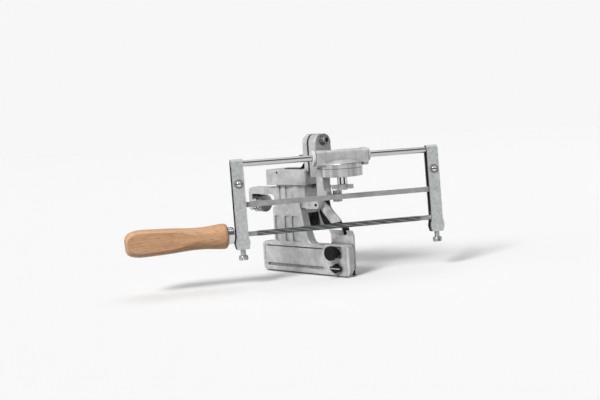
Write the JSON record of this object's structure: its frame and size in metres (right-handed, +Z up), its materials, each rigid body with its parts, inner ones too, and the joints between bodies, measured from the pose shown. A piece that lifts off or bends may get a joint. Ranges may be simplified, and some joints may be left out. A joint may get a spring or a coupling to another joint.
{
  "type": "bar-mounted chainsaw sharpener",
  "caption": "Filing guide that clamps on a chainsaw's guide bar: a cast clamp, a swing arm with turntable, and a sliding frame that holds a round file with a wooden handle.",
  "frame": {"origin": "on the fixed jaw's clamping face, below the column and halfway up the jaws", "axes": "+X along the guide bar towards its nose, -Y towards the user, +Z up"},
  "size_m": [0.1823, 0.2775, 0.1393],
  "materials": {
    "cast_zinc": "as-cast, fine grain",
    "plate_steel": "matte rolled strip",
    "zinc_plated": "zinc plated, mottled",
    "polished_steel": "ground and polished",
    "blackened_steel": "black oxide",
    "file_steel": "spiral cut teeth",
    "black_plastic": "moulded",
    "white_nylon": "moulded",
    "beech": "turned and lacquered"
  },
  "bodies": {
    "base": {"clamp_body": "cast_zinc", "fixed_jaw_plate": "plate_steel", "jaw_plate_screws": "zinc_plated", "latch_spring": "blackened_steel", "block_pin": "blackened_steel", "pivot_screw": "zinc_plated", "pivot_washers": "zinc_plated", "spring_washer": "zinc_plated", "arm_stop_pin": "zinc_plated"},
    "pressure_plate_body": {"pressure_plate": "plate_steel", "guide_pins": "zinc_plated", "plate_foot": "black_plastic"},
    "upper_knob_body": {"upper_knob": "black_plastic", "upper_spindle": "blackened_steel"},
    "lower_screw_body": {"lower_wing": "black_plastic", "wing_bar": "polished_steel", "lower_spindle": "blackened_steel"},
    "feed_wheel_body": {"feed_wheel": "cast_zinc", "feed_spindle": "zinc_plated", "spindle_clip": "blackened_steel"},
    "carriage_body": {"stop_carriage": "cast_zinc", "pawl_pin": "blackened_steel"},
    "pawl_body": {"stop_pawl": "blackened_steel", "pawl_lever": "plate_steel", "pawl_spring": "blackened_steel"},
    "arm_body": {"swing_arm": "cast_zinc"},
    "height_nut_body": {"height_nut": "polished_steel"},
    "height_pin_body": {"height_pin": "polished_steel", "height_lock": "polished_steel"},
    "turntable_body": {"guide_body": "cast_zinc", "clamp_stud": "polished_steel", "clamp_hub": "polished_steel"},
    "wing_nut_body": {"wing_nut": "polished_steel"},
    "bush_body": {"left_bush": "white_nylon", "right_bush": "white_nylon"},
    "frame_body": {"guide_rod": "polished_steel", "left_strap": "zinc_plated", "right_strap": "zinc_plated", "flat_bar": "plate_steel", "bar_rivets": "zinc_plated", "pinch_screws": "zinc_plated", "pinch_washers": "zinc_plated", "pinch_nuts": "zinc_plated", "file_saddles": "zinc_plated", "screw_blocks": "zinc_plated"},
    "file_body": {"round_file": "file_steel", "handle_ferrule": "polished_steel", "file_handle": "beech"},
    "left_clamp_body": {"left_clamp_screw": "zinc_plated"},
    "right_clamp_body": {"right_clamp_screw": "zinc_plated"}
  },
  "joints": [
    {"name": "plate_slide", "type": "slide", "parent": "base", "child": "pressure_plate_body", "axis": [0, 1, 0], "range_m": [-0.0026, 0.0012]},
    {"name": "upper_knob_turn", "type": "hinge", "parent": "pressure_plate_body", "child": "upper_knob_body", "pos_m": [0.024, -0.02, 0.0094], "axis": [0, 1, 0], "range_deg": [-940, 435]},
    {"name": "lower_screw_turn", "type": "hinge", "parent": "pressure_plate_body", "child": "lower_screw_body", "pos_m": [0.025, -0.02, -0.0059], "axis": [0, 1, 0], "range_deg": [-945, 440]},
    {"name": "feed_wheel_turn", "type": "hinge", "parent": "base", "child": "feed_wheel_body", "pos_m": [-0.08, -0.014, 0.0545], "axis": [1, 0, 0], "range_deg": [-725, 725]},
    {"name": "stop_slide", "type": "slide", "parent": "base", "child": "carriage_body", "axis": [1, 0, 0], "range_m": [-0.002, 0.002]},
    {"name": "pawl_swing", "type": "hinge", "parent": "carriage_body", "child": "pawl_body", "pos_m": [-0.002, -0.007, 0.0545], "axis": [0, -1, 0], "range_deg": [0, 5], "stiffness_Nm_per_rad": 0.01, "springref_deg": -28.65},
    {"name": "arm_swing", "type": "hinge", "parent": "base", "child": "arm_body", "pos_m": [0, -0.008, 0.1182], "axis": [-1, 0, 0], "range_deg": [0, 30]},
    {"name": "height_nut_turn", "type": "hinge", "parent": "arm_body", "child": "height_nut_body", "pos_m": [0.0177, -0.0064, 0.0665], "axis": [0, 0, 1], "range_deg": [-940, 0]},
    {"name": "height_pin_slide", "type": "slide", "parent": "arm_body", "child": "height_pin_body", "axis": [0, 0, 1], "range_m": [-0.0026, 0]},
    {"name": "turntable_turn", "type": "hinge", "parent": "arm_body", "child": "turntable_body", "pos_m": [0.0252, -0.0064, 0.093], "axis": [0, 0, 1], "range_deg": [-3, 63]},
    {"name": "wing_nut_turn", "type": "hinge", "parent": "turntable_body", "child": "wing_nut_body", "pos_m": [0.0252, -0.0064, 0.072], "axis": [0, 0, 1], "range_deg": [-180, 180]},
    {"name": "frame_tilt", "type": "hinge", "parent": "turntable_body", "child": "bush_body", "pos_m": [0.0252, -0.0064, 0.10165], "axis": [-0.5, -0.866, 0], "range_deg": [0, 110]},
    {"name": "frame_slide", "type": "slide", "parent": "bush_body", "child": "frame_body", "axis": [0.5, 0.866, 0], "range_m": [-0.055, 0.06]},
    {"name": "file_turn", "type": "hinge", "parent": "frame_body", "child": "file_body", "pos_m": [0.02884, -0.0085, 0.03488], "axis": [0.5, 0.866, 0], "continuous": true},
    {"name": "left_clamp_turn", "type": "hinge", "parent": "frame_body", "child": "left_clamp_body", "pos_m": [-0.02178, -0.09844, 0.01682], "axis": [-0.0544, 0.0314, 0.998], "range_deg": [-180, 180]},
    {"name": "right_clamp_turn", "type": "hinge", "parent": "frame_body", "child": "right_clamp_body", "pos_m": [0.07622, 0.0713, 0.01682], "axis": [-0.0544, 0.0314, 0.998], "range_deg": [-180, 180]}
  ],
  "couplings": [
    {"joint": "upper_knob_turn", "follows": "plate_slide", "rad_per_m": 6283.2},
    {"joint": "lower_screw_turn", "follows": "plate_slide", "rad_per_m": 6283.2},
    {"joint": "feed_wheel_turn", "follows": "stop_slide", "rad_per_m": 6283.2},
    {"joint": "height_nut_turn", "follows": "height_pin_slide", "rad_per_m": 6283.2}
  ]
}
